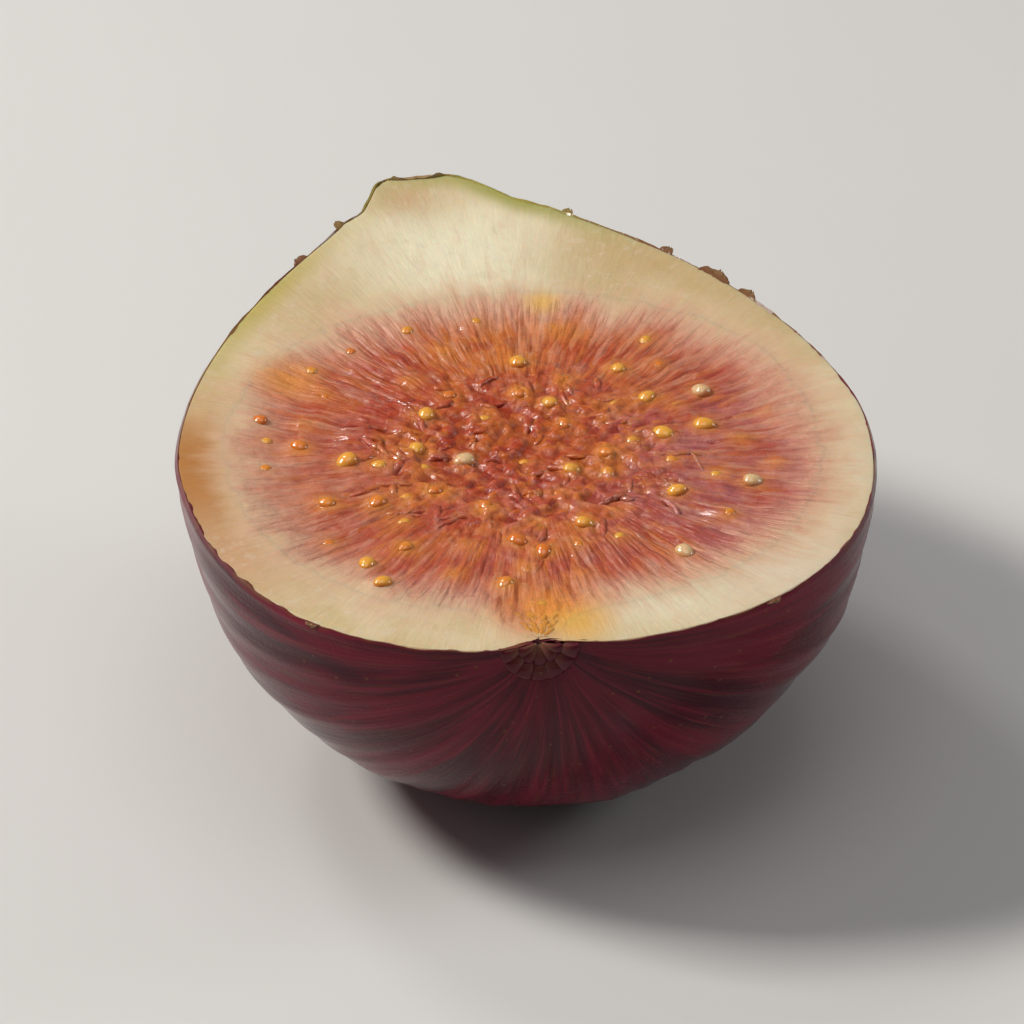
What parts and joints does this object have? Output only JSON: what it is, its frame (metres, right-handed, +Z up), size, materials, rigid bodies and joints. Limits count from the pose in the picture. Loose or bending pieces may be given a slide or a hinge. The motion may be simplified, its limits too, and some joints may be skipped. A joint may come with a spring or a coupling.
{
  "type": "fresh fig half",
  "caption": "Half of a fresh fig, cut from stem to eye, lying on its rounded skin with the seedy red pulp facing up.",
  "frame": {"origin": "middle of the fig's footprint box, on the surface that the half lies on", "axes": "+Y from the eye to the stem, +Z up, square to the cut face"},
  "size_m": [0.0444, 0.0556, 0.0213],
  "materials": {
    "fig_skin": "satin",
    "fig_flesh": "satin",
    "fig_pulp": "gloss",
    "fig_seed": "gloss"
  },
  "bodies": {
    "root": {"fig_half": "fig_skin"}
  },
  "joints": []
}
